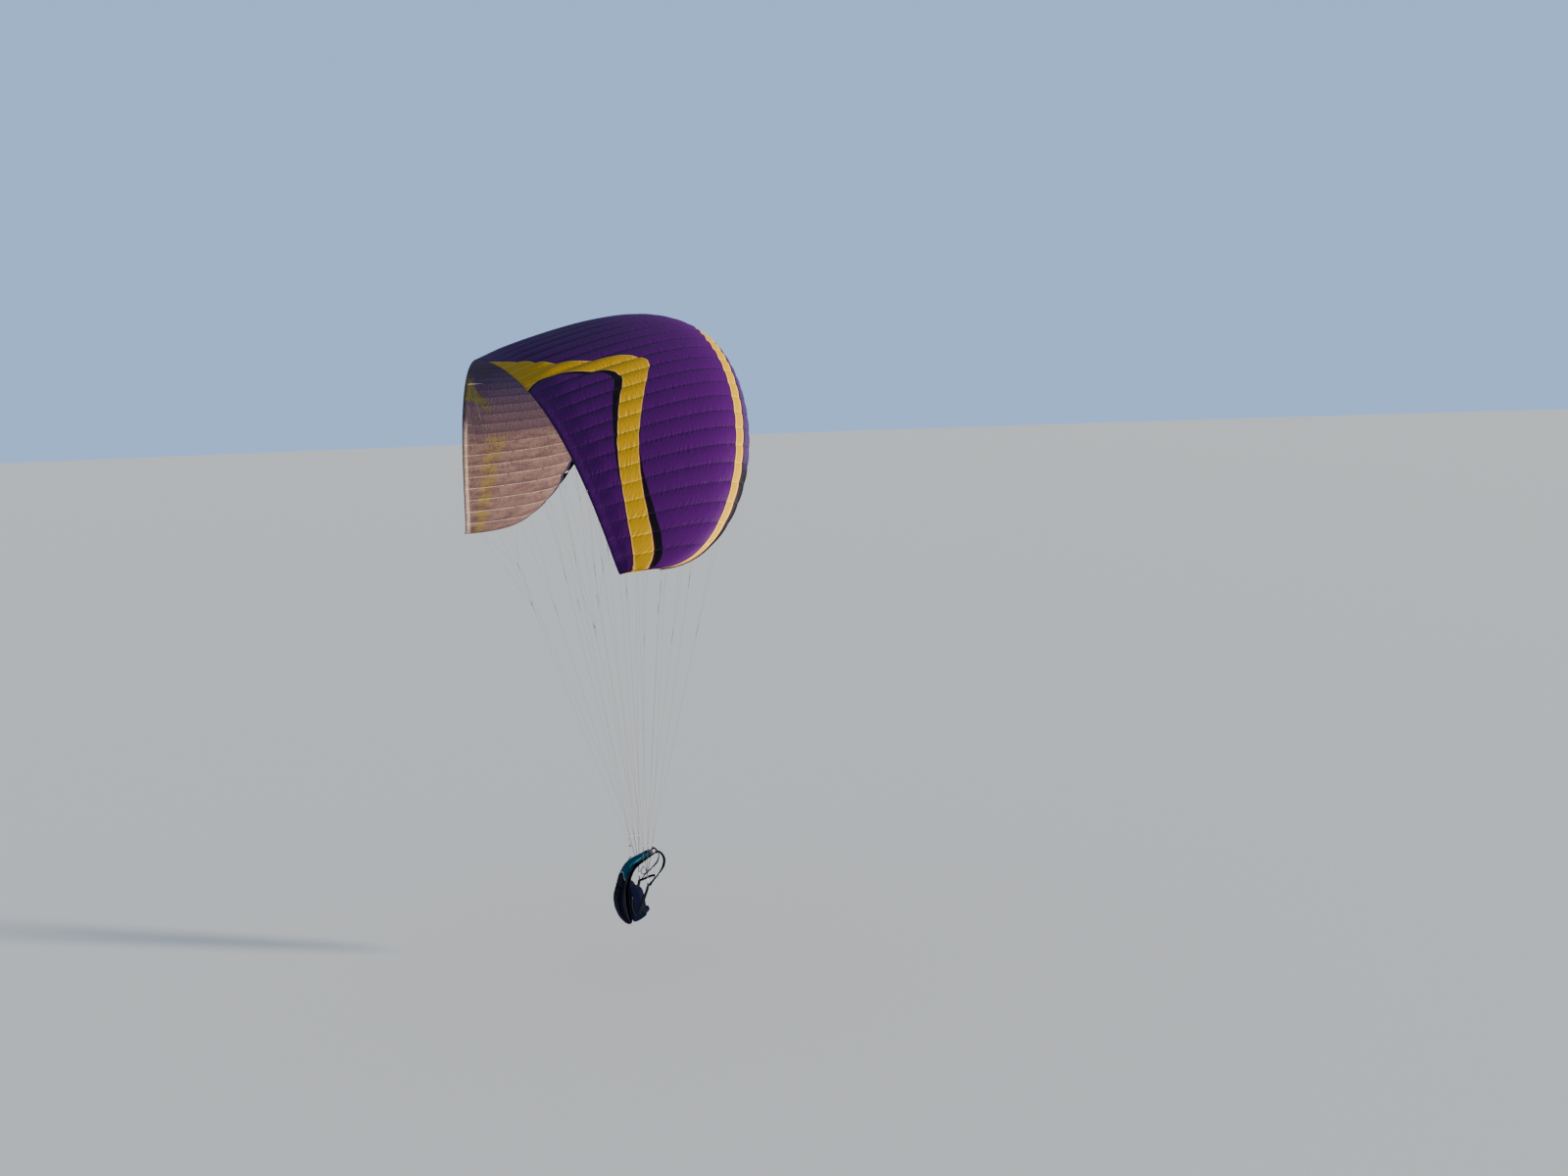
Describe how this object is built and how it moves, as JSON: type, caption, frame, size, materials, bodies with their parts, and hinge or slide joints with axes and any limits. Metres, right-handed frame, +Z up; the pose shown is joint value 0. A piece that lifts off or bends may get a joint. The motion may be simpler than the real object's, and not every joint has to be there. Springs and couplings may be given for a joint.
{
  "type": "paraglider",
  "caption": "Paraglider in flight: arched purple ram-air wing with gold stripes and a pale underside, over its lines, risers, brake handles and soft seat harness.",
  "frame": {"origin": "quarter-chord point of the wing's centre section, where the air carries it", "axes": "+X the way it flies, +Y to the pilot's left along the span, +Z up from the pilot to the wing"},
  "size_m": [2.8768, 9.1626, 8.8421],
  "materials": {
    "top_cloth": "coated ripstop nylon, purple with gold and black stripes",
    "under_cloth": "coated ripstop nylon, off-white",
    "rib_cloth": "stiff coated nylon, white",
    "line_front": "sheathed line, red",
    "line_middle": "sheathed line, orange",
    "line_rear": "sheathed line, sand",
    "line_brake": "sheathed line, pale green",
    "riser_webbing": "woven flat webbing, black",
    "steel": "polished stainless steel",
    "pulley_plastic": "moulded black plastic",
    "handle_webbing": "padded webbing, black",
    "carabiner_metal": "anodised aluminium",
    "harness_padding": "padded mesh and nylon, black",
    "harness_webbing": "woven webbing, black",
    "harness_navy": "heavy nylon, navy",
    "harness_teal": "heavy nylon, teal"
  },
  "bodies": {
    "wing": {"rib_centre": "rib_cloth", "upper_surface_left": "top_cloth", "upper_surface_right": "top_cloth", "lower_surface_left": "under_cloth", "lower_surface_right": "under_cloth", "lines_a_left": "line_front", "lines_a_right": "line_front", "lines_b_left": "line_middle", "lines_b_right": "line_middle", "lines_c_left": "line_rear", "lines_c_right": "line_rear", "lines_tip_left": "line_middle", "lines_tip_right": "line_middle", "lines_brake_left": "line_brake", "lines_brake_right": "line_brake", "riser_a_left": "riser_webbing", "riser_a_right": "riser_webbing", "riser_b_left": "riser_webbing", "riser_b_right": "riser_webbing", "riser_c_left": "riser_webbing", "riser_c_right": "riser_webbing", "riser_base_left": "riser_webbing", "riser_base_right": "riser_webbing", "link_a_left": "steel", "link_a_right": "steel", "link_b_left": "steel", "link_b_right": "steel", "link_c_left": "steel", "link_c_right": "steel", "pulley_left": "pulley_plastic", "pulley_right": "pulley_plastic"},
    "brake_left": {"brake_tail_left": "line_brake", "brake_handle_left": "handle_webbing"},
    "brake_right": {"brake_tail_right": "line_brake", "brake_handle_right": "handle_webbing"},
    "harness": {"carabiner_left": "carabiner_metal", "carabiner_right": "carabiner_metal", "shoulder_strap_left": "harness_padding", "shoulder_strap_right": "harness_padding", "main_webbing_left": "harness_webbing", "main_webbing_right": "harness_webbing", "side_panel_left": "harness_navy", "side_panel_right": "harness_navy", "leg_loop_left": "harness_padding", "leg_loop_right": "harness_padding", "back_panel": "harness_padding", "rear_pocket": "harness_teal", "back_protector": "harness_navy", "seat": "harness_navy", "chest_strap": "harness_webbing"}
  },
  "joints": [
    {"name": "harness_pitch", "type": "hinge", "parent": "wing", "child": "harness", "pos_m": [0.031, 0, -7.856], "axis": [0, 1, 0], "range_deg": [-65, 10]},
    {"name": "brake_pull_left", "type": "slide", "parent": "wing", "child": "brake_left", "axis": [0, 0, -1], "range_m": [0, 0.55], "deforming": ["brake_tail_left"]},
    {"name": "brake_pull_right", "type": "slide", "parent": "wing", "child": "brake_right", "axis": [0, 0, -1], "range_m": [0, 0.55], "deforming": ["brake_tail_right"]}
  ]
}
